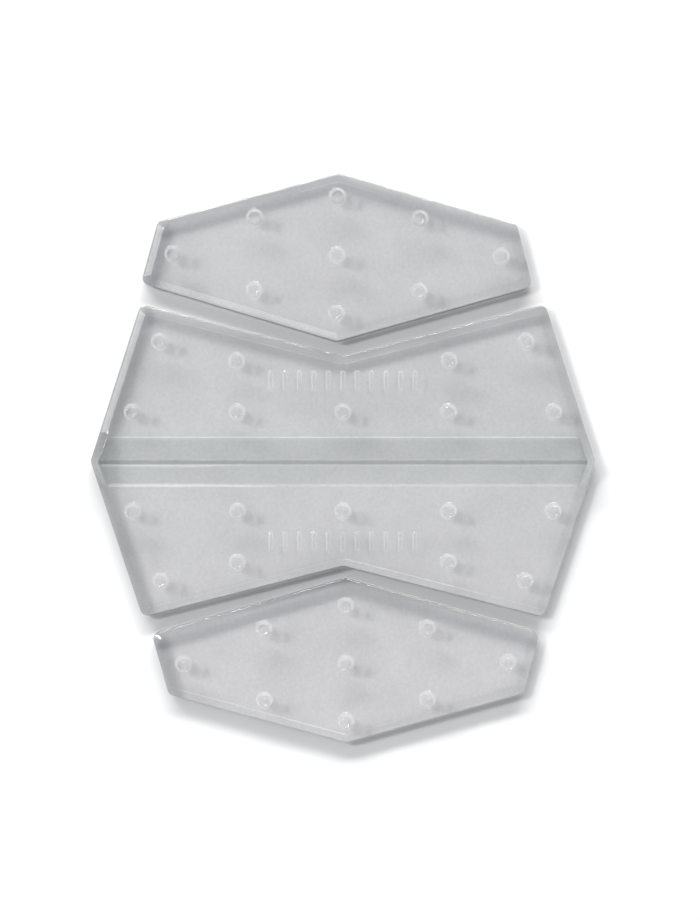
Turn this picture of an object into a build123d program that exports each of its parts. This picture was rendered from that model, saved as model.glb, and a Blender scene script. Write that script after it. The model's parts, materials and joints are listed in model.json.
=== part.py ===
from build123d import *
import math
import os

# Three-piece clear stomp pad on its release liners.
# Origin: middle of the centre pad, on the underside of its liner. +Z up, +Y towards the toe pad.
# All sizes in millimetres.

# Layers, from the bottom up
liner_thickness = 0.2
adhesive_thickness = 0.3
plate_thickness = 4.0
liner_inset = 0.1
adhesive_inset = 0.3

# Rim of each moulding: an upright wall, then a bevel up to the flat top
wall_height = 2.9
bevel_width = 2.4
corner_radius = 2.0
bevel_corner_radius = 0.8

# Centre pad outline: two tips, four corners and two notches
tip_x = 70.2
corner_x = 56.0
corner_y = 43.6
notch_y = 29.2

# Toe and heel pads: the same outline, measured from the middle stud, +Y away from the centre pad
outer_apex_y = 22.6
outer_corner_x = 49.6
outer_corner_y = 8.9
inner_corner_x = 54.2
inner_corner_y = -8.1
inner_apex_y = -23.7

# Where the loose pads lie beside the centre pad, and how far each is turned
toe_place = (-1.6, 57.1)
toe_turn = -0.5
heel_place = (0.8, -56.4)
heel_turn = 0.2

# Ridge across the centre pad
ridge_width = 14.0
ridge_height = 3.4
crest_radius = 1.2

# Studs: tapered, with a rounded rim and a dish in the tip
stud_base_radius = 2.25
stud_tip_radius = 1.65
stud_height = 3.0
stud_rim_radius = 0.2
stud_dish_radius = 1.3
stud_dish_depth = 0.5
stud_root = 0.5

# Stud places
centre_stud_quarter = [(0, 13.8), (29.3, 13.8), (58.4, 13.8), (29.4, 28.0), (50.7, 33.3)]
outer_stud_half = [(0, 0), (0, 16.3), (0, -16.1), (45.3, 0), (22.8, 10.3), (22.8, -9.8)]

# A row of plain grip ribs on each half of the centre pad
rib_count = 11
rib_pitch = 4.0
rib_length = 5.6
rib_width = 1.3
rib_height = 0.6
rib_row_y = 22.4

pad_bottom = liner_thickness + adhesive_thickness
pad_top = pad_bottom + plate_thickness

centre_outline = [
    (tip_x, 0),
    (corner_x, corner_y),
    (0, notch_y),
    (-corner_x, corner_y),
    (-tip_x, 0),
    (-corner_x, -corner_y),
    (0, -notch_y),
    (corner_x, -corner_y),
]
outer_outline = [
    (0, outer_apex_y),
    (-outer_corner_x, outer_corner_y),
    (-inner_corner_x, inner_corner_y),
    (0, inner_apex_y),
    (inner_corner_x, inner_corner_y),
    (outer_corner_x, outer_corner_y),
]


def mirrored(points, signs):
    """Each point repeated for each pair of signs, without doubles on the axes."""
    places = {(sx * x, sy * y) for x, y in points for sx, sy in signs}
    return sorted(places)


def inset(points, distance):
    """An anticlockwise outline moved inwards, side by side, with its corners kept sharp."""
    moved = []
    for i, (x, y) in enumerate(points):
        x_before, y_before = points[i - 1]
        x_after, y_after = points[(i + 1) % len(points)]
        in_angle = math.atan2(y - y_before, x - x_before)
        out_angle = math.atan2(y_after - y, x_after - x)
        normal = (in_angle + out_angle) / 2 + math.pi / 2
        if abs(out_angle - in_angle) > math.pi:
            normal += math.pi
        reach = distance / abs(math.cos((out_angle - in_angle) / 2))
        moved.append((x + reach * math.cos(normal), y + reach * math.sin(normal)))
    return moved


def outline_face(points, radius, height):
    """The filled outline with rounded corners, at a height."""
    face = make_face(Polyline(*points, close=True))
    rounded = fillet(face.vertices(), radius)
    return Pos(0, 0, height) * rounded


def frustum(points, bottom, top, width):
    """A block whose sides lean inwards by a width over its height."""
    lower = outline_face(points, corner_radius, bottom)
    upper = outline_face(inset(points, width), bevel_corner_radius, top)
    return loft([lower.face(), upper.face()], ruled=True)


def plate(points):
    """The flat moulding: an upright wall and a bevel up to the top face."""
    bevel_start = pad_bottom + wall_height
    wall = extrude(outline_face(points, corner_radius, pad_bottom), wall_height)
    return wall + frustum(points, bevel_start, pad_top, bevel_width)


def stud():
    """One tapered stud, standing on z = 0 with its root sunk below."""
    flare = (stud_base_radius - stud_tip_radius) / stud_height
    total = stud_height + stud_root
    body = Cone(stud_base_radius + flare * stud_root, stud_tip_radius, total)
    body = Pos(0, 0, total / 2 - stud_root) * body
    body = fillet(body.edges().sort_by(Axis.Z)[-1], stud_rim_radius)
    ball_radius = (stud_dish_radius**2 + stud_dish_depth**2) / (2 * stud_dish_depth)
    dish = Pos(0, 0, stud_height - stud_dish_depth + ball_radius) * Sphere(ball_radius)
    return body - dish


def with_studs(base, places):
    """The moulding with a stud at each place on its top face."""
    return base + [Pos(x, y, pad_top) * stud() for x, y in places]


def ridge():
    """A rounded three-sided ridge from tip to tip, its ends leaning in with the rim."""
    profile = Polyline(
        (-ridge_width / 2, -stud_root),
        (-ridge_width / 2, 0),
        (0, ridge_height),
        (ridge_width / 2, 0),
        (ridge_width / 2, -stud_root),
        close=True,
    )
    section = make_face(profile)
    crest = section.vertices().sort_by(Axis.Y)[-1]
    section = fillet(crest, crest_radius)
    bar = extrude(Plane.YZ * section, tip_x, both=True)
    bar = Pos(0, 0, pad_top) * bar
    crest_top = pad_top + ridge_height
    return bar & frustum(centre_outline, pad_bottom + wall_height, crest_top, bevel_width)


def grip_ribs():
    """Rows of short upright ribs, one row on each half of the centre pad."""
    rib = extrude(SlotOverall(rib_length, rib_width, rotation=90), rib_height + stud_root)
    first_x = -rib_pitch * (rib_count - 1) / 2
    return [
        Pos(first_x + rib_pitch * i, side * rib_row_y, pad_top - stud_root) * rib
        for side in (-1, 1)
        for i in range(rib_count)
    ]


def sheet(points, margin, bottom, thickness):
    """A die-cut sheet of the pad's outline, a margin smaller all round."""
    return extrude(outline_face(inset(points, margin), corner_radius, bottom), thickness)


def layers(name, points, moulding, place):
    """The three pieces of one pad, moved to where it lies."""
    return {
        f"{name}_pad": place * moulding,
        f"{name}_adhesive": place * sheet(points, adhesive_inset, liner_thickness, adhesive_thickness),
        f"{name}_liner": place * sheet(points, liner_inset, 0, liner_thickness),
    }


all_quarters = [(1, 1), (1, -1), (-1, 1), (-1, -1)]
both_sides = [(1, 1), (-1, 1)]

centre_moulding = plate(centre_outline) + ridge() + grip_ribs()
centre_moulding = with_studs(centre_moulding, mirrored(centre_stud_quarter, all_quarters))
outer_moulding = with_studs(plate(outer_outline), mirrored(outer_stud_half, both_sides))

toe_location = Pos(*toe_place) * Rot(0, 0, toe_turn)
heel_location = Pos(*heel_place) * Rot(0, 0, 180 + heel_turn)

parts = {
    **layers("centre", centre_outline, centre_moulding, Location()),
    **layers("toe", outer_outline, outer_moulding, toe_location),
    **layers("heel", outer_outline, outer_moulding, heel_location),
}

os.makedirs("parts", exist_ok=True)
for node, shape in parts.items():
    export_step(shape, f"parts/{node}.step")
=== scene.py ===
import json
import math

import bpy
from mathutils import Euler, Matrix, Vector, noise
from mathutils.geometry import delaunay_2d_cdt


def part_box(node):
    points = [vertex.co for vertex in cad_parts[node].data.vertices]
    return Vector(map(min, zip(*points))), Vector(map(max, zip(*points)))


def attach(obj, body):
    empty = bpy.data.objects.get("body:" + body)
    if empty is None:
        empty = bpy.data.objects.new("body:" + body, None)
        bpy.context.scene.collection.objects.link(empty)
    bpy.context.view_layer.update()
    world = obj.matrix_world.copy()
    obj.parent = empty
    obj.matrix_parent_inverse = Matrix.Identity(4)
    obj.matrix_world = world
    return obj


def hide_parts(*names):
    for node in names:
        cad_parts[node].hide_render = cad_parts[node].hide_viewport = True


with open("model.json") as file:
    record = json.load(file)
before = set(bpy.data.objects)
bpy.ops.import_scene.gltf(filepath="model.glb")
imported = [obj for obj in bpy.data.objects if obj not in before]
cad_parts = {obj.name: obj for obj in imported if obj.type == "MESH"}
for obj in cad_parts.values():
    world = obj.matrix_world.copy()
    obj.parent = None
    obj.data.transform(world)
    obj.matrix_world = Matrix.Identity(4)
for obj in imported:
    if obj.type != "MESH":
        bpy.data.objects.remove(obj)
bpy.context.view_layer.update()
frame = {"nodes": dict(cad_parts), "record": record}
record = frame["record"]
scene = bpy.context.scene

# ------------------------------------------------------------------ sizes, in millimetres
MM = 0.001

# Rim of each moulding: an upright wall, then a bevel up to the top face
WALL_HEIGHT = 2.9
BEVEL_WIDTH = 2.4
CORNER_RADIUS = 2.0
BEVEL_CORNER_RADIUS = 0.8
FOOT_EDGE = 0.25
FOOT_ROUND_SHARE = 0.3
WALL_EDGE_DROP = 0.12
WALL_EDGE_REACH = 0.09
TOP_EDGE_BLEND = 0.29

# Where the bevel meets the ridge its soft edge is tighter: by this share, from this rise, over this climb
RIDGE_BLEND_LOSS = 0.75
RIDGE_BLEND_START = 0.1
RIDGE_BLEND_CLIMB = 1.2

# Rings of the rim, as distances in from the outline: close together at the wall, then evenly to the end of
# the soft edge, then one on the top face
CLOSE_RINGS = (0.0, 0.06, 0.14, 0.26, 0.44)
EVEN_RINGS = 12
BLEND_END = 3.04
RIM_END = 3.1

# Centre pad outline
TIP_X = 70.2
CORNER = (56.0, 43.6)
NOTCH_Y = 29.2

# Toe and heel outline, from the middle stud, +Y away from the centre pad
OUTER_APEX_Y = 22.6
OUTER_CORNER = (49.6, 8.9)
INNER_CORNER = (54.2, -8.1)
INNER_APEX_Y = -23.7
TOE_TURN = -0.5
HEEL_TURN = 180.2

# Ridge, and the distances from its crest at which its mesh has a row
RIDGE_HALF_WIDTH = 7.0
RIDGE_HEIGHT = 3.2
CREST_SOFTNESS = 0.5
RIDGE_FOOT_BLEND = 0.7
RIDGE_ROWS = (0.35, 0.7, 1.1, 1.7, 2.5, 3.5, 4.5, 5.4, 6.0, 6.4, 6.8, 7.2, 7.6, 8.1, 8.8)

# Studs: a soft foot, a taper that bulges a little, a rounded rim and a dish with a small lip
STUD_FOOT_RADIUS = 2.6
STUD_BASE_RADIUS = 2.25
STUD_TIP_RADIUS = 1.65
STUD_HEIGHT = 3.0
STUD_BULGE = 0.06
STUD_RIM = 0.22
STUD_DISH_RADIUS = 1.32
STUD_DISH_DEPTH = 0.55
STUD_DISH_SAG = 0.33
DISH_LIP = 0.07
DISH_LIP_EDGE = 0.03
DISH_LIP_DROP = 0.04
DISH_FLOOR_SHARE = 0.96
FOOT_STEPS = 5
TAPER_STEPS = 6
STUD_RIM_STEPS = 7
DISH_STEPS = 8
STUD_SEGMENTS = 48
CENTRE_STUD_QUARTER = [(0, 13.8), (29.3, 13.8), (58.4, 13.8), (29.4, 28.0), (50.7, 33.3)]
OUTER_STUD_HALF = [(0, 0), (0, 16.3), (0, -16.1), (45.3, 0), (22.8, 10.3), (22.8, -9.8)]

# Plain grip ribs
RIB_COUNT = 11
RIB_PITCH = 4.0
RIB_LENGTH = 5.6
RIB_WIDTH = 1.3
RIB_HEIGHT = 0.6
RIB_FOOT = 0.25
RIB_ROW_Y = 22.4
RIB_SEGMENTS = 16

# The flat ring around each stud and rib, and which of their rings have the matt coat
FLAT_MARGIN = 0.05
FROSTED_RINGS = range(4, 14)
FROSTED_RIB_RINGS = range(2, 8)

# Casting ripple: a broad one and a finer one on top of it
RIPPLE = 0.02
RIPPLE_LENGTH = 14.0
FINER_RIPPLE = 2.7
FINER_SHARE = 0.4
RIPPLE_SEEDS = {"centre_pad": 3.0, "toe_pad": 17.0, "heel_pad": 31.0}

# How finely the meshes are divided
SIDE_STEP = 1.6
GRID_STEP = 2.4
GRID_CLEARANCE = 0.35 * GRID_STEP
ARC_STEPS = 6
ON_AXIS = 0.1
LEAST_SHARE = 0.02
SLIVER = 0.00015
WELD = 0.00001
TRIANGLES_INSIDE = 1

# How far each pad's underside lies inside its adhesive, so that no air is left between them
BOND_OVERLAP = 0.04

# Shade painted into the pads' colour through the mesh: bevels that face away from the light, and a thin dark
# line along the outline
AWAY_FROM_LIGHT = (1.0, -0.5)
BEVEL_SHADE_RISE = 5
BEVEL_SHADE_FALL = 3
BEVEL_SHADE_END = 1.35
OUTLINE_END = 0.33
OUTLINE_REACH = 0.22

pad_low, pad_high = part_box("toe_pad")
PAD_BOTTOM = pad_low.z / MM
PLATE_TOP = pad_high.z / MM - STUD_HEIGHT

centre_outline = [
    (TIP_X, 0),
    (CORNER[0], CORNER[1]),
    (0, NOTCH_Y),
    (-CORNER[0], CORNER[1]),
    (-TIP_X, 0),
    (-CORNER[0], -CORNER[1]),
    (0, -NOTCH_Y),
    (CORNER[0], -CORNER[1]),
]
outer_outline = [
    (0, OUTER_APEX_Y),
    (-OUTER_CORNER[0], OUTER_CORNER[1]),
    (-INNER_CORNER[0], INNER_CORNER[1]),
    (0, INNER_APEX_Y),
    (INNER_CORNER[0], INNER_CORNER[1]),
    (OUTER_CORNER[0], OUTER_CORNER[1]),
]


# ------------------------------------------------------------------ heights
def soft_min(a, b, blend):
    """The lower of two heights, rounded off where they are within the blend of each other."""
    near = max(blend - abs(a - b), 0) / blend
    return min(a, b) - near * near * blend / 4


def soft_max(a, b, blend):
    return -soft_min(-a, -b, blend)


def ripple(x, y, seed):
    """The slight unevenness of a poured top face."""
    point = Vector((x, y, seed)) / RIPPLE_LENGTH
    fine = noise.noise(point * FINER_RIPPLE)
    return RIPPLE * (noise.noise(point) + FINER_SHARE * fine)


def ridge_rise(y):
    """Height of the ridge above the top face: a roof with a soft crest and a soft foot."""
    slope = RIDGE_HEIGHT / RIDGE_HALF_WIDTH
    run = math.sqrt(y * y + CREST_SOFTNESS**2) - CREST_SOFTNESS
    return soft_max(RIDGE_HEIGHT - slope * run, 0, RIDGE_FOOT_BLEND)


def plain_top(x, y, seed, ridged):
    rise = ridge_rise(y) if ridged else 0
    return PLATE_TOP + rise + ripple(x, y, seed)


def rim_height(distance, top):
    """Height of the rim at a distance in from the outline: a bevel that runs softly into the top face."""
    start = PAD_BOTTOM + WALL_HEIGHT
    climb = (top - start) * distance / BEVEL_WIDTH
    rounding = WALL_EDGE_DROP * math.exp(-distance / WALL_EDGE_REACH)
    ridge_share = max(0, min(1, (top - PLATE_TOP - RIDGE_BLEND_START) / RIDGE_BLEND_CLIMB))
    blend = TOP_EDGE_BLEND * (1 - RIDGE_BLEND_LOSS * ridge_share)
    return soft_min(start + climb, top, blend) - rounding


# ------------------------------------------------------------------ outlines
def inset(points, distance):
    """An anticlockwise outline moved inwards, side by side, with its corners kept sharp."""
    moved = []
    for i, point in enumerate(points):
        here = Vector(point)
        before = (here - Vector(points[i - 1])).normalized()
        after = (Vector(points[(i + 1) % len(points)]) - here).normalized()
        inward = Vector((-before.y - after.y, before.x + after.x)).normalized()
        across = Vector((-after.y, after.x)).dot(inward)
        moved.append(here + inward * distance / across)
    return moved


def corner_arc(before, here, after, radius):
    """Points of an arc that rounds one corner."""
    way_in = (here - before).normalized()
    way_out = (after - here).normalized()
    turn = way_in.angle_signed(way_out) * -1
    reach = radius * math.tan(abs(turn) / 2)
    start = here - way_in * reach
    side = 1 if turn > 0 else -1
    centre = start + Vector((-way_in.y, way_in.x)) * radius * side
    spoke = start - centre
    arc = []
    for k in range(ARC_STEPS + 1):
        angle = turn * k / ARC_STEPS
        cos, sin = math.cos(angle), math.sin(angle)
        turned = Vector((spoke.x * cos - spoke.y * sin, spoke.x * sin + spoke.y * cos))
        arc.append(centre + turned)
    return arc


def is_notch(points, i):
    """True where the outline turns clockwise, so that the corner points inwards."""
    before, here, after = (Vector(points[(i + k) % len(points)]) for k in (-1, 0, 1))
    return (here - before).cross(after - here) < 0


def side_shares(start, end, ridged):
    """Where one side of an outline is divided, as shares of its length: at each ridge row near a tip."""
    length = (Vector(end) - Vector(start)).length
    count = max(2, round(length / SIDE_STEP))
    shares = [k / count for k in range(1, count)]
    tip_side = ridged and min(abs(start[1]), abs(end[1])) < ON_AXIS
    if not tip_side:
        return shares
    rise = abs(end[1] - start[1])
    rows = [row / rise for row in RIDGE_ROWS]
    shares = rows + [s for s in shares if s > rows[-1] + LEAST_SHARE]
    from_tip = abs(start[1]) < abs(end[1])
    return shares if from_tip else sorted(1 - s for s in shares)


def ring(points, distance, ridged):
    """The outline moved inwards, with rounded corners, always with the same number of points."""
    moved = inset(points, distance)
    share = min(distance / BEVEL_WIDTH, 1)
    tight = CORNER_RADIUS + (BEVEL_CORNER_RADIUS - CORNER_RADIUS) * share
    arcs = []
    for i, here in enumerate(moved):
        radius = CORNER_RADIUS + distance if is_notch(points, i) else tight
        arcs.append(corner_arc(moved[i - 1], here, moved[(i + 1) % len(moved)], radius))
    loop = []
    for i, arc in enumerate(arcs):
        loop += arc
        start, end = arc[-1], arcs[(i + 1) % len(arcs)][0]
        for share in side_shares(points[i], points[(i + 1) % len(points)], ridged):
            loop.append(start.lerp(end, share))
    return loop


def inside(point, loop):
    """True if a point lies within a closed loop."""
    odd = False
    for i, here in enumerate(loop):
        before = loop[i - 1]
        if (here.y > point.y) != (before.y > point.y):
            cross_x = here.x + (point.y - here.y) * (before.x - here.x) / (before.y - here.y)
            if point.x < cross_x:
                odd = not odd
    return odd


def gap_to_loop(point, loop):
    """How far a point is from the nearest side of a closed loop."""
    nearest = math.inf
    for i, here in enumerate(loop):
        away = point - here
        side = loop[i - 1] - here
        share = max(0, min(1, away.dot(side) / side.length_squared))
        nearest = min(nearest, (away - side * share).length)
    return nearest


# ------------------------------------------------------------------ studs and ribs, as stacks of rings
def circle(centre, radius):
    points = []
    for k in range(STUD_SEGMENTS):
        angle = 2 * math.pi * k / STUD_SEGMENTS
        points.append(Vector((centre[0] + radius * math.cos(angle), centre[1] + radius * math.sin(angle))))
    return points


def slot_loop(centre, radius):
    """An upright slot shape: two half circles joined by straight sides."""
    reach = (RIB_LENGTH - RIB_WIDTH) / 2
    points = []
    for k in range(RIB_SEGMENTS):
        angle = 2 * math.pi * (k + 0.5) / RIB_SEGMENTS
        lift = reach if math.sin(angle) > 0 else -reach
        across, along = radius * math.cos(angle), lift + radius * math.sin(angle)
        points.append(Vector((centre[0] + across, centre[1] + along)))
    return points


def stud_profile():
    """(radius, height) up a stud: a soft foot, the taper, a rounded rim and the dish in its tip."""
    profile = [(STUD_FOOT_RADIUS, 0.0), (STUD_FOOT_RADIUS - FLAT_MARGIN, 0.0)]
    foot = STUD_FOOT_RADIUS - STUD_BASE_RADIUS
    for k in range(1, FOOT_STEPS):
        angle = k / FOOT_STEPS * math.pi / 2
        profile.append((STUD_FOOT_RADIUS - foot * math.sin(angle), foot * (1 - math.cos(angle))))
    taper_start = profile[-1]
    taper_end = (STUD_TIP_RADIUS, STUD_HEIGHT - STUD_RIM)
    for k in range(1, TAPER_STEPS + 1):
        share = k / TAPER_STEPS
        bulge = STUD_BULGE * math.sin(math.pi * share)
        radius = taper_start[0] + (taper_end[0] - taper_start[0]) * share + bulge
        profile.append((radius, taper_start[1] + (taper_end[1] - taper_start[1]) * share))
    for k in range(1, STUD_RIM_STEPS + 1):
        angle = k / STUD_RIM_STEPS * math.pi / 2
        radius = taper_end[0] - STUD_RIM * (1 - math.cos(angle))
        profile.append((radius, taper_end[1] + STUD_RIM * math.sin(angle)))
    step = STUD_HEIGHT - STUD_DISH_DEPTH + STUD_DISH_SAG
    profile.append((STUD_DISH_RADIUS + DISH_LIP, profile[-1][1]))
    profile.append((STUD_DISH_RADIUS + DISH_LIP_EDGE, profile[-1][1] - DISH_LIP_DROP))
    profile.append((STUD_DISH_RADIUS, step + DISH_LIP_DROP))
    for k in range(1, DISH_STEPS):
        share = 1 - k / DISH_STEPS
        radius = STUD_DISH_RADIUS * share * DISH_FLOOR_SHARE
        profile.append((radius, step - STUD_DISH_SAG * (1 - share * share)))
    return profile


def rib_profile():
    """(half width, height) up a rib: a soft foot, a nearly upright side and a rounded top."""
    half = RIB_WIDTH / 2
    return [
        (half + RIB_FOOT, 0.0),
        (half + RIB_FOOT - FLAT_MARGIN, 0.0),
        (half + 0.09, 0.03),
        (half + 0.02, 0.10),
        (half - 0.02, 0.25),
        (half - 0.06, 0.42),
        (half - 0.12, 0.53),
        (half - 0.22, 0.58),
        (half - 0.34, RIB_HEIGHT),
    ]


# ------------------------------------------------------------------ one moulding as a closed mesh
class Skin:
    """Vertices and faces gathered for one mesh, and which faces are frosted.
    Each vertex also has a depth, the height of the plate or ridge below it, a rim value, which is 1 on the
    wall and bevel, and a painted shade: 1 on the outline and up to 0.5 on a bevel that faces away from the
    light."""

    def __init__(self):
        self.points = []
        self.faces = []
        self.frosted = []
        self.shades = []
        self.rim = []
        self.depths = []

    def add(self, flat, height, rim=0.0, lift=0.0, shade=0.0):
        self.points.append((flat.x, flat.y, height + lift))
        self.shades.append(shade)
        self.rim.append(rim)
        self.depths.append(height - PAD_BOTTOM)
        return len(self.points) - 1

    def bridge(self, lower, upper, frosted=False):
        """Quads between two rings of the same length, facing outwards when the rings run anticlockwise."""
        for k in range(len(lower)):
            if frosted:
                self.frosted.append(len(self.faces))
            after = (k + 1) % len(lower)
            self.faces.append((lower[k], lower[after], upper[after], upper[k]))


def rim_distances():
    """Distances in from the outline at which the rim has a ring."""
    start = CLOSE_RINGS[-1]
    even = [start + (BLEND_END - start) * k / EVEN_RINGS for k in range(1, EVEN_RINGS + 1)]
    return [*CLOSE_RINGS, *even, RIM_END]


def outward_ways(loop):
    """The outward direction at each point of an anticlockwise loop."""
    ways = []
    for i, here in enumerate(loop):
        along = loop[(i + 1) % len(loop)] - loop[i - 1]
        ways.append(Vector((along.y, -along.x)).normalized())
    return ways


def bevel_shade(distance):
    """Painted shade: 0.5 over most of the bevel, fading out at the outline and a little past the bevel's
    inner edge.
    """
    share = distance / BEVEL_WIDTH
    return max(0.0, min(share * BEVEL_SHADE_RISE, 1, (BEVEL_SHADE_END - share) * BEVEL_SHADE_FALL)) / 2


def outline_shade(distance):
    """Painted shade: 1 at the very edge of a pad, where the wall is seen end on, and 0 a little way in."""
    return max(0.0, min(1.0, (OUTLINE_END - distance) / OUTLINE_REACH))


def away_share(place, way):
    """How far one direction of a pad faces away from the light: 1 for +X, 0.5 for -Y, 0 for +Y and -X."""
    turned = place.to_3x3() @ Vector((way.x, way.y, 0))
    return max(0.0, min(1.0, turned.x * AWAY_FROM_LIGHT[0] + turned.y * AWAY_FROM_LIGHT[1]))


def grid_points(rim_loop, holes):
    """Points over the top face, in rows along the ridge, clear of the rim and of every hole."""
    low_x, high_x = min(p.x for p in rim_loop), max(p.x for p in rim_loop)
    low_y, high_y = min(p.y for p in rim_loop), max(p.y for p in rim_loop)
    rows = sorted({-row for row in RIDGE_ROWS} | {0.0} | set(RIDGE_ROWS))
    y = rows[-1] + GRID_STEP
    while y < max(high_y, -low_y):
        rows += [y, -y]
        y += GRID_STEP
    columns = [low_x + GRID_STEP * k for k in range(int((high_x - low_x) / GRID_STEP) + 1)]
    found = []
    for point in (Vector((x, y)) for y in rows for x in columns):
        if not inside(point, rim_loop) or gap_to_loop(point, rim_loop) < GRID_CLEARANCE:
            continue
        if any(inside(point, loop) or gap_to_loop(point, loop) < GRID_CLEARANCE for loop in holes):
            continue
        found.append(point)
    return found


def fill_top(skin, rim_loop, rim_ids, stands, height):
    """Triangles over the top face, between the rim and the rings where studs and ribs stand."""
    flat = []
    ids = []
    edges = []
    for loop, loop_ids in [(rim_loop, rim_ids), *stands]:
        start = len(flat)
        flat += loop
        ids += loop_ids
        edges += [(start + k, start + (k + 1) % len(loop)) for k in range(len(loop))]
    holes = [loop for loop, _ in stands]
    for point in grid_points(rim_loop, holes):
        flat.append(point)
        ids.append(skin.add(point, height(point.x, point.y)))
    found = delaunay_2d_cdt(flat, edges, [], TRIANGLES_INSIDE, WELD, True)
    points, faces, sources = found[0], found[2], found[3]
    for face in faces:
        first, second, third = (points[k] for k in face)
        if abs((second - first).cross(third - first)) < SLIVER:
            continue
        middle = (first + second + third) / 3
        if inside(middle, rim_loop) and not any(inside(middle, loop) for loop in holes):
            skin.faces.append(tuple(ids[sources[k][0]] for k in face))


def add_rim(skin, outline, ridged, seed, place):
    """The edge of the underside, the wall and the bevel, as a stack of rings. Returns the last ring's points,
    the first ring's vertices and the last ring's vertices."""
    bottom = PAD_BOTTOM - BOND_OVERLAP
    foot_rings = [
        (FOOT_EDGE * 4, bottom),
        (FOOT_EDGE * 2, bottom),
        (FOOT_EDGE, bottom),
        (FOOT_EDGE * FOOT_ROUND_SHARE, bottom + FOOT_EDGE * FOOT_ROUND_SHARE),
        (0.0, bottom + FOOT_EDGE),
    ]
    rings = []
    for distance, level in foot_rings:
        rings.append([skin.add(p, level, rim=1.0, shade=1.0) for p in ring(outline, distance, ridged)])
    for distance in rim_distances():
        loop = ring(outline, distance, ridged)
        rim = 1.0 if distance < BEVEL_WIDTH else 0.0
        calm = 1 - min(distance / BEVEL_WIDTH, 1)
        ids = []
        for p, way in zip(loop, outward_ways(loop)):
            top = plain_top(p.x, p.y, seed, ridged) - calm * ripple(p.x, p.y, seed)
            # Painted shade: a dark line at the outline, and darker bevels on the sides that face away from
            # the light
            shade = max(outline_shade(distance), bevel_shade(distance) * away_share(place, way))
            ids.append(skin.add(p, rim_height(distance, top), rim=rim, shade=shade))
        rings.append(ids)
    for lower, upper in zip(rings, rings[1:]):
        skin.bridge(lower, upper)
    return loop, rings[0], rings[-1]


def add_stand(skin, centre, profile, shape, frosted_rings, height):
    """One stud or rib, capped. Returns its lowest ring: the points and their vertices."""
    stack = []
    for radius, lift in profile:
        stack.append([skin.add(p, height(p.x, p.y), lift=lift) for p in shape(centre, radius)])
    for k, (lower, upper) in enumerate(zip(stack, stack[1:])):
        skin.bridge(lower, upper, k in frosted_rings)
    skin.faces.append(tuple(stack[-1]))
    return shape(centre, profile[0][0]), stack[0]


def moulding(name, outline, studs, ribs, ridged, seed, place, coats):
    """One clear pad: rim, top face, ridge, studs and ribs in a single closed skin."""
    skin = Skin()

    def height(x, y):
        return plain_top(x, y, seed, ridged)

    rim_loop, base_ids, rim_ids = add_rim(skin, outline, ridged, seed, place)
    stands = []
    for centre in studs:
        stands.append(add_stand(skin, centre, stud_profile(), circle, FROSTED_RINGS, height))
    for centre in ribs:
        stands.append(add_stand(skin, centre, rib_profile(), slot_loop, FROSTED_RIB_RINGS, height))
    fill_top(skin, rim_loop, rim_ids, stands, height)
    skin.faces.append(tuple(reversed(base_ids)))

    mesh = bpy.data.meshes.new(name)
    mesh.from_pydata([place @ (Vector(p) * MM) for p in skin.points], [], skin.faces)
    thick = mesh.attributes.new("thickness", "FLOAT", "POINT")
    deepest = PLATE_TOP + RIDGE_HEIGHT - PAD_BOTTOM
    thick.data.foreach_set("value", [depth / deepest for depth in skin.depths])
    mesh.attributes.new("rim", "FLOAT", "POINT").data.foreach_set("value", skin.rim)
    mesh.attributes.new("shade", "FLOAT", "POINT").data.foreach_set("value", skin.shades)
    for coat in coats:
        mesh.materials.append(coat)
    for k in skin.frosted:
        mesh.polygons[k].material_index = 1
    mesh.validate()
    mesh.shade_smooth()
    piece = bpy.data.objects.new(name, mesh)
    scene.collection.objects.link(piece)
    return piece


def mirrored(points, signs):
    """The points and their mirror images, each place once."""
    return sorted({(sx * x, sy * y) for x, y in points for sx, sy in signs})


def mount_place(name, turn):
    """The frame of one pad: its mount's place, turned about Z."""
    mount = next(m for m in record["mounts"] if m["name"] == name)
    turned = Euler((0, 0, math.radians(turn))).to_matrix().to_4x4()
    return Matrix.Translation(Vector(mount["pos_m"])) @ turned


# ------------------------------------------------------------------ materials
FROSTED_CLARITY = 0.9
SET_HALF_LENGTH = 0.08
BLACK = (0, 0, 0, 1)
WHITE = (1, 1, 1, 1)


def new_material(name):
    material = bpy.data.materials.new(name)
    material.use_nodes = True
    nodes = material.node_tree.nodes
    nodes.clear()
    return material, nodes, material.node_tree.links


def show(nodes, links, shader):
    """Makes one shader the surface of its material."""
    out = nodes.new("ShaderNodeOutputMaterial")
    links.new(shader, out.inputs["Surface"])


def attribute_node(nodes, name):
    node = nodes.new("ShaderNodeAttribute")
    node.attribute_name = name
    return node


def noise_node(nodes, links, vector, scale, detail, roughness=0.5):
    node = nodes.new("ShaderNodeTexNoise")
    node.inputs["Scale"].default_value = scale
    node.inputs["Detail"].default_value = detail
    node.inputs["Roughness"].default_value = roughness
    links.new(vector, node.inputs["Vector"])
    return node


def ramp_node(nodes, links, factor, stops):
    """A colour that depends on a factor, with (position, colour) stops."""
    node = nodes.new("ShaderNodeValToRGB")
    ramp = node.color_ramp
    ramp.elements[0].position, ramp.elements[0].color = stops[0]
    ramp.elements[1].position, ramp.elements[1].color = stops[-1]
    for position, colour in stops[1:-1]:
        ramp.elements.new(position).color = colour
    links.new(factor, node.inputs["Fac"])
    return node


def mix_node(nodes, links, share, first, second):
    node = nodes.new("ShaderNodeMixRGB")
    links.new(share, node.inputs["Fac"])
    links.new(first.outputs["Color"], node.inputs["Color1"])
    links.new(second.outputs["Color"], node.inputs["Color2"])
    return node


def multiply_node(nodes, links, first, second):
    node = nodes.new("ShaderNodeMixRGB")
    node.blend_type = "MULTIPLY"
    node.inputs["Fac"].default_value = 1.0
    links.new(first.outputs["Color"], node.inputs["Color1"])
    links.new(second.outputs["Color"], node.inputs["Color2"])
    return node


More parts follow.
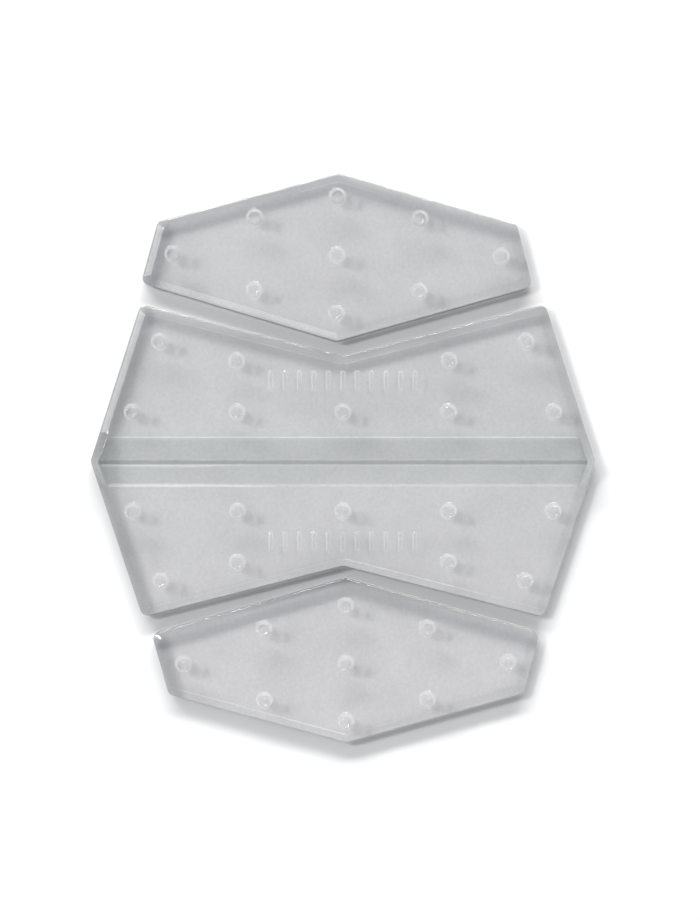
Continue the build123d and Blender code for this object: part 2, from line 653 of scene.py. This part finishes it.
def glossy_shell(nodes, links, place, thickness, clarity):
    """The plastic as the camera sees it: darker and greener low on the rim, greener and darker over the
    ridge, partly its own tint and partly painted shade, with a painted dark line along the crest, and darker
    where shade is painted onto the mesh.
    """
    # Darker and greener low on the rim, nearly clear over the plate, greener and darker over the ridge
    # (partly the thicker plastic's own tint, partly painted shade), and a painted dark line of shade along
    # the crest
    tint = ramp_node(
        nodes,
        links,
        thickness.outputs["Fac"],
        [
            (0.0, (0.86, 0.89, 0.87, 1)),
            (0.5, (0.98, 0.985, 0.98, 1)),
            (0.605, (0.98, 0.985, 0.98, 1)),
            (0.67, (0.735, 0.785, 0.76, 1)),
            (0.975, (0.71, 0.755, 0.73, 1)),
            (0.987, (0.42, 0.47, 0.44, 1)),
            (1.0, (0.42, 0.47, 0.44, 1)),
        ],
    )
    # Painted shade from the mesh: the dark outline, and bevels that face away from the light
    shade = attribute_node(nodes, "shade")
    painted_shade_tint = ramp_node(
        nodes,
        links,
        shade.outputs["Fac"],
        [(0.0, WHITE), (0.5, (0.80, 0.81, 0.80, 1)), (1.0, (0.62, 0.68, 0.62, 1))],
    )
    colour = multiply_node(nodes, links, tint, painted_shade_tint)
    fine = noise_node(nodes, links, place.outputs["Position"], 900, 3)
    bump = nodes.new("ShaderNodeBump")
    bump.inputs["Strength"].default_value = 0.008
    bump.inputs["Distance"].default_value = 0.0002
    links.new(fine.outputs["Fac"], bump.inputs["Height"])
    shell = nodes.new("ShaderNodeBsdfPrincipled")
    shell.inputs["Transmission Weight"].default_value = clarity
    shell.inputs["Roughness"].default_value = 0.06
    shell.inputs["Sheen Weight"].default_value = 0.5
    shell.inputs["Sheen Roughness"].default_value = 0.35
    shell.inputs["IOR"].default_value = 1.5
    links.new(colour.outputs["Color"], shell.inputs["Base Color"])
    links.new(bump.outputs["Normal"], shell.inputs["Normal"])
    return shell


def lamp_tint(nodes, links, place, thickness):
    """How much light gets through. Rays are followed from the lit point towards the lamp: one that enters
    a rim from outside is in the pad's outer shadow, and one that leaves through the rim or a stud's side
    is dimmed by how steep it is, how high up it is and which way it faces."""
    split = nodes.new("ShaderNodeSeparateXYZ")
    links.new(place.outputs["Normal"], split.inputs["Vector"])
    level = nodes.new("ShaderNodeMath")
    level.operation = "ABSOLUTE"
    links.new(split.outputs["Z"], level.inputs[0])
    slant = nodes.new("ShaderNodeMapRange")
    slant.inputs["From Min"].default_value = -1.0
    slant.inputs["From Max"].default_value = 1.0
    links.new(split.outputs["X"], slant.inputs["Value"])
    clear_way = nodes.new("ShaderNodeRGB")
    clear_way.outputs["Color"].default_value = (0.94, 0.945, 0.94, 1)
    entering_rim = ramp_node(
        nodes,
        links,
        level.outputs["Value"],
        [(0.0, (0.09, 0.09, 0.093, 1)), (0.86, (0.17, 0.17, 0.174, 1)), (0.97, (0.93, 0.94, 0.94, 1))],
    )
    through_wall = ramp_node(
        nodes,
        links,
        thickness.outputs["Fac"],
        [(0.06, WHITE), (0.14, (0.80, 0.81, 0.82, 1)), (0.26, (0.36, 0.37, 0.38, 1))],
    )
    through_bevel = ramp_node(
        nodes,
        links,
        slant.outputs["Result"],
        [(0.57, (0.92, 0.93, 0.93, 1)), (0.67, (0.22, 0.23, 0.24, 1)), (0.8, (0.22, 0.23, 0.24, 1))],
    )
    through_stud = ramp_node(
        nodes, links, slant.outputs["Result"], [(0.68, WHITE), (0.84, (0.12, 0.13, 0.14, 1))]
    )
    levelness = ramp_node(nodes, links, level.outputs["Value"], [(0.7, BLACK), (0.85, WHITE)])
    bevel_rise = ramp_node(nodes, links, thickness.outputs["Fac"], [(0.48, BLACK), (0.55, WHITE)])
    along_bevel = mix_node(nodes, links, bevel_rise.outputs["Color"], through_bevel, clear_way)
    leaving_rim = mix_node(nodes, links, levelness.outputs["Color"], through_wall, along_bevel)
    at_rim = mix_node(nodes, links, place.outputs["Backfacing"], entering_rim, leaving_rim)
    elsewhere = mix_node(nodes, links, levelness.outputs["Color"], through_stud, clear_way)
    rim = attribute_node(nodes, "rim")
    return mix_node(nodes, links, rim.outputs["Fac"], elsewhere, at_rim)


def clear_plastic(name, clarity):
    """Soft clear PVC: glossy, faintly green where it is thick, with painted shade at its rim and along the
    ridge's crest, and fine ripples in its surface.
    Light from lamps and from other surfaces passes straight through it, tinted."""
    material, nodes, links = new_material(name)
    place = nodes.new("ShaderNodeNewGeometry")
    thickness = attribute_node(nodes, "thickness")
    shell = glossy_shell(nodes, links, place, thickness, clarity)
    tint = lamp_tint(nodes, links, place, thickness)
    rays = nodes.new("ShaderNodeLightPath")
    seen = shell.outputs["BSDF"]
    for kind in ("Is Shadow Ray", "Is Diffuse Ray"):
        passing = nodes.new("ShaderNodeBsdfTransparent")
        links.new(tint.outputs["Color"], passing.inputs["Color"])
        choice = nodes.new("ShaderNodeMixShader")
        links.new(rays.outputs[kind], choice.inputs[0])
        links.new(seen, choice.inputs[1])
        links.new(passing.outputs["BSDF"], choice.inputs[2])
        seen = choice.outputs["Shader"]
    show(nodes, links, seen)
    return material


def adhesive_film():
    """Milky acrylic sheet: mottled where it has wetted the pad unevenly, with painted light that makes it
    palest towards the heel.
    """
    material, nodes, links = new_material("adhesive_film")
    place = nodes.new("ShaderNodeNewGeometry")
    broad = noise_node(nodes, links, place.outputs["Position"], 45, 4, 0.6)
    grain = noise_node(nodes, links, place.outputs["Position"], 1300, 4, 0.8)
    wetting = ramp_node(
        nodes,
        links,
        broad.outputs["Fac"],
        [(0.3, (0.50, 0.492, 0.506, 1)), (0.7, (0.55, 0.542, 0.556, 1))],
    )
    speckle = ramp_node(
        nodes,
        links,
        grain.outputs["Fac"],
        [(0.34, (0.91, 0.92, 0.91, 1)), (0.66, (1.05, 1.05, 1.05, 1))],
    )
    # Painted light: the film is made brighter towards the heel at -Y and a little dimmer towards the toe
    split = nodes.new("ShaderNodeSeparateXYZ")
    links.new(place.outputs["Position"], split.inputs["Vector"])
    along = nodes.new("ShaderNodeMapRange")
    along.inputs["From Min"].default_value = -SET_HALF_LENGTH
    along.inputs["From Max"].default_value = SET_HALF_LENGTH
    along.inputs["To Min"].default_value = 1.0
    along.inputs["To Max"].default_value = 0.0
    links.new(split.outputs["Y"], along.inputs["Value"])
    shade = ramp_node(
        nodes,
        links,
        along.outputs["Result"],
        [(0.0, (0.95, 0.95, 0.95, 1)), (0.5, (0.95, 0.955, 0.945, 1)), (1.0, (1.06, 1.05, 1.06, 1))],
    )
    mottled = multiply_node(nodes, links, wetting, speckle)
    colour = multiply_node(nodes, links, mottled, shade)
    sheet = nodes.new("ShaderNodeBsdfPrincipled")
    sheet.inputs["Roughness"].default_value = 0.5
    links.new(colour.outputs["Color"], sheet.inputs["Base Color"])
    show(nodes, links, sheet.outputs["BSDF"])
    return material


def liner_film():
    """Pale release film with a faint drawn texture."""
    material, nodes, links = new_material("liner_film")
    place = nodes.new("ShaderNodeNewGeometry")
    fine = noise_node(nodes, links, place.outputs["Position"], 600, 4, 0.6)
    colour = ramp_node(
        nodes,
        links,
        fine.outputs["Fac"],
        [(0.35, (0.70, 0.70, 0.71, 1)), (0.65, (0.76, 0.76, 0.77, 1))],
    )
    film = nodes.new("ShaderNodeBsdfPrincipled")
    film.inputs["Roughness"].default_value = 0.42
    links.new(colour.outputs["Color"], film.inputs["Base Color"])
    show(nodes, links, film.outputs["BSDF"])
    return material


def floor_white():
    """Plain matt white."""
    material, nodes, links = new_material("floor_white")
    paint = nodes.new("ShaderNodeBsdfPrincipled")
    paint.inputs["Base Color"].default_value = (0.86, 0.86, 0.86, 1)
    paint.inputs["Roughness"].default_value = 0.9
    paint.inputs["Specular IOR Level"].default_value = 0.1
    show(nodes, links, paint.outputs["BSDF"])
    return material


# ------------------------------------------------------------------ the pads
coats = [clear_plastic("clear_pvc", 1.0), clear_plastic("scuffed_pvc", FROSTED_CLARITY)]
film = adhesive_film()
liner = liner_film()

rib_first = -RIB_PITCH * (RIB_COUNT - 1) / 2
rib_places = [(rib_first + RIB_PITCH * i, side * RIB_ROW_Y) for side in (-1, 1) for i in range(RIB_COUNT)]
quarters = [(1, 1), (1, -1), (-1, 1), (-1, -1)]
halves = [(1, 1), (-1, 1)]
centre_studs = mirrored(CENTRE_STUD_QUARTER, quarters)
outer_studs = mirrored(OUTER_STUD_HALF, halves)

pads = {}
for node, outline, studs, ribs, ridged, mount, turn in (
    ("centre_pad", centre_outline, centre_studs, rib_places, True, "centre_face", 0),
    ("toe_pad", outer_outline, outer_studs, [], False, "toe_face", TOE_TURN),
    ("heel_pad", outer_outline, outer_studs, [], False, "heel_face", HEEL_TURN),
):
    place = mount_place(mount, turn)
    seed = RIPPLE_SEEDS[node]
    pads[node] = moulding("clear_" + node, outline, studs, ribs, ridged, seed, place, coats)
for node, pad in pads.items():
    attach(pad, node)
    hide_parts(node)

for node, shape in frame["nodes"].items():
    coat = {"adhesive": film, "liner": liner}.get(node.split("_")[1])
    if coat:
        shape.data.materials.clear()
        shape.data.materials.append(coat)

# ------------------------------------------------------------------ floor, light and camera, in metres
FLOOR_SIZE = 3.0
FLOOR_DROP = 0.00003

# Softboxes: name, azimuth and elevation in degrees, distance, width, height, power in watts
SOFTBOXES = [
    ("back", 98, 28, 4.0, 5.0, 0.6, 280),
    ("key", 160, 41, 2.4, 0.74, 0.74, 9),
    ("key_spark", 150, 47, 2.4, 0.36, 0.36, 16),
    ("front", -90, 46, 0.8, 0.26, 0.14, 0.18),
    ("front_low", -90, 36, 1.0, 1.2, 0.2, 0.22),
    ("front_high", -106, 46, 1.0, 0.26, 0.22, 0.42),
    ("overhead_strip", 90, 57, 1.0, 0.3, 0.07, 0.26),
]

# Camera: almost straight above, leaning a little towards the toe pad
CAMERA_DISTANCE = 0.8
CAMERA_TILT = 4.5
VIEW_HEIGHT = 0.2559
AIM = (0.00196, 0.0003, 0.003)


def add_floor():
    """A plain floor just under the liners."""
    half = FLOOR_SIZE / 2
    mesh = bpy.data.meshes.new("floor")
    corners = [(-half, -half, 0), (half, -half, 0), (half, half, 0), (-half, half, 0)]
    mesh.from_pydata(corners, [], [(0, 1, 2, 3)])
    floor = bpy.data.objects.new("floor", mesh)
    floor.location.z = -FLOOR_DROP
    mesh.materials.append(floor_white())
    scene.collection.objects.link(floor)


def add_light(name, azimuth, elevation, distance, width, height, power):
    """A rectangular softbox in a direction from the pads, facing them."""
    data = bpy.data.lights.new(name, "AREA")
    data.shape = "RECTANGLE"
    data.size = width
    data.size_y = height
    data.energy = power
    light = bpy.data.objects.new(name, data)
    way = toward(azimuth, elevation)
    light.location = way * distance
    light.rotation_euler = way.to_track_quat("Z", "Y").to_euler()
    scene.collection.objects.link(light)


def toward(azimuth, elevation):
    """A unit vector at an azimuth, counted anticlockwise from +X, and an elevation, in degrees."""
    turn, lift = math.radians(azimuth), math.radians(elevation)
    return Vector((math.cos(turn) * math.cos(lift), math.sin(turn) * math.cos(lift), math.sin(lift)))


def add_camera():
    data = bpy.data.cameras.new("camera")
    data.sensor_fit = "VERTICAL"
    data.angle = 2 * math.atan(VIEW_HEIGHT / 2 / CAMERA_DISTANCE)
    camera = bpy.data.objects.new("camera", data)
    tilt = math.radians(CAMERA_TILT)
    offset = Vector((0, math.sin(tilt), math.cos(tilt))) * CAMERA_DISTANCE
    camera.location = Vector(AIM) + offset
    camera.rotation_euler = Euler((-tilt, 0, 0))
    scene.collection.objects.link(camera)
    scene.camera = camera


def add_world():
    """Dim overhead, and brighter towards the horizon, like the walls of a light tent."""
    world = bpy.data.worlds.new("studio")
    world.use_nodes = True
    nodes, links = world.node_tree.nodes, world.node_tree.links
    way = nodes.new("ShaderNodeTexCoord")
    split = nodes.new("ShaderNodeSeparateXYZ")
    glow = ramp_node(
        nodes,
        links,
        split.outputs["Z"],
        [(0.04, (0.85, 0.86, 0.9, 1)), (0.35, (0.23, 0.235, 0.245, 1))],
    )
    links.new(way.outputs["Generated"], split.inputs["Vector"])
    links.new(glow.outputs["Color"], nodes["Background"].inputs["Color"])
    scene.world = world


add_floor()
for softbox in SOFTBOXES:
    add_light(*softbox)
add_camera()
add_world()
scene.view_settings.view_transform = "Standard"
